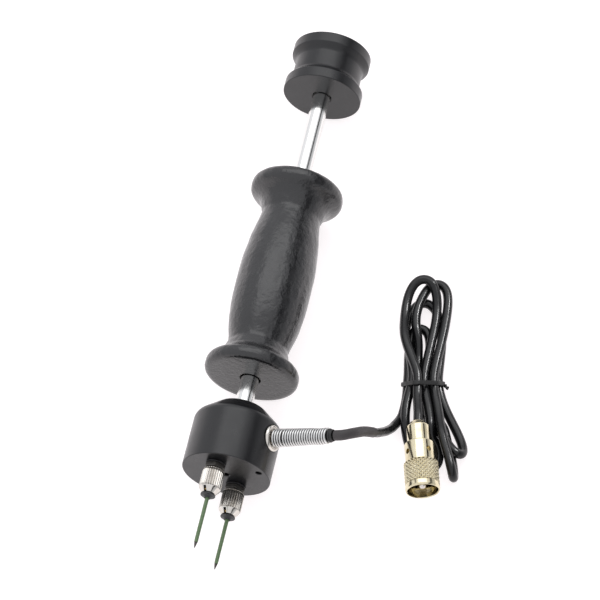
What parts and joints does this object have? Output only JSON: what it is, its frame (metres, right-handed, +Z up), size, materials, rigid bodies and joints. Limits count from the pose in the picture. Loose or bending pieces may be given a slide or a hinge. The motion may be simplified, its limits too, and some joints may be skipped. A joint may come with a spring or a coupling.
{
  "type": "slide-hammer pin electrode for a moisture meter",
  "caption": "Slide-hammer probe of a resistance moisture meter: two coated pins in screw-down holders, steel rod, sliding grip, anvil, and a hanked coaxial lead with a screw-on plug.",
  "frame": {"origin": "centre of the tool's length and width, on the surface it lies on (the low edge of the grip's flanges)", "axes": "+Y along the rod from the pins to the anvil, +Z up from the surface, +X towards the side the lead lies on"},
  "size_m": [0.1419, 0.311, 0.0565],
  "materials": {
    "black_anodised": "satin black anodised aluminium",
    "polished_steel": "ground and polished steel",
    "blackened_steel": "black oxide",
    "cast_core": "as turned",
    "black_vinyl": "glossy dip-moulded vinyl with a pebbled skin",
    "white_plastic": "natural acetal",
    "dark_plastic": "fibre washer",
    "brass": "turned",
    "nickel_plate": "bright nickel plate",
    "dark_steel": "hardened, dark",
    "green_coating": "thin green insulating coat",
    "zinc_plate": "bright zinc plate",
    "wire_insulation": "extruded",
    "black_rubber": "moulded",
    "sleeve_rubber": "matte heat-shrunk sleeve",
    "cable_jacket": "glossy extruded PVC",
    "tie_plastic": "flat twist tie",
    "plug_plate": "pale nickel over brass"
  },
  "bodies": {
    "tool": {"base_body": "black_anodised", "rod_lock_screw": "blackened_steel", "gland_lock_screw": "blackened_steel", "rod": "polished_steel", "anvil": "black_anodised", "anvil_lock_screw": "blackened_steel", "left_stud": "brass", "left_insulating_washer": "dark_plastic", "left_nut": "blackened_steel", "left_terminal": "zinc_plate", "left_wire": "wire_insulation", "right_stud": "brass", "right_insulating_washer": "dark_plastic", "right_nut": "blackened_steel", "right_terminal": "zinc_plate", "right_wire": "wire_insulation", "cable_gland": "nickel_plate", "strain_spring": "zinc_plate", "cable_boot": "black_rubber", "inner_cable": "cable_jacket", "lead_sleeve": "sleeve_rubber", "cable_lead": "cable_jacket", "cable_hank": "cable_jacket", "hank_tie": "tie_plastic", "cable_tail": "cable_jacket", "plug_reducer": "plug_plate", "plug_body": "plug_plate", "plug_insulator": "white_plastic", "plug_contact": "nickel_plate"},
    "bushes": {"lower_bush": "white_plastic", "upper_bush": "white_plastic"},
    "hammer": {"grip_cover": "black_vinyl", "hammer_core": "cast_core"},
    "left_electrode": {"left_collet": "brass", "left_pin": "dark_steel", "left_pin_coating": "green_coating", "left_pin_collar": "dark_plastic"},
    "left_cap": {"left_retainer": "nickel_plate"},
    "right_electrode": {"right_collet": "brass", "right_pin": "dark_steel", "right_pin_coating": "green_coating", "right_pin_collar": "dark_plastic"},
    "right_cap": {"right_retainer": "nickel_plate"},
    "plug_ring": {"coupling_ring": "plug_plate"}
  },
  "joints": [
    {"name": "hammer_slide", "type": "slide", "parent": "tool", "child": "bushes", "axis": [0, 1, 0], "range_m": [-0.0183, 0.0591]},
    {"name": "hammer_turn", "type": "hinge", "parent": "bushes", "child": "hammer", "pos_m": [0, 0, 0.025], "axis": [0, 1, 0], "continuous": true},
    {"name": "left_electrode_travel", "type": "slide", "parent": "tool", "child": "left_electrode", "axis": [0, -1, 0], "range_m": [0, 0.0024]},
    {"name": "left_cap_turn", "type": "hinge", "parent": "left_electrode", "child": "left_cap", "pos_m": [-0.00494, -0.10723, 0.03583], "axis": [0, -1, 0], "range_deg": [0, 1080]},
    {"name": "right_electrode_travel", "type": "slide", "parent": "tool", "child": "right_electrode", "axis": [0, -1, 0], "range_m": [0, 0.0024]},
    {"name": "right_cap_turn", "type": "hinge", "parent": "right_electrode", "child": "right_cap", "pos_m": [0.00494, -0.10723, 0.01417], "axis": [0, -1, 0], "range_deg": [0, 1080]},
    {"name": "plug_ring_turn", "type": "hinge", "parent": "tool", "child": "plug_ring", "pos_m": [0.09965, -0.08987, 0.0143], "axis": [-0.2639, 0.9646, 0], "continuous": true}
  ],
  "couplings": [
    {"joint": "left_electrode_travel", "follows": "left_cap_turn", "m_per_rad": 0.00012732},
    {"joint": "right_electrode_travel", "follows": "right_cap_turn", "m_per_rad": 0.00012732}
  ]
}
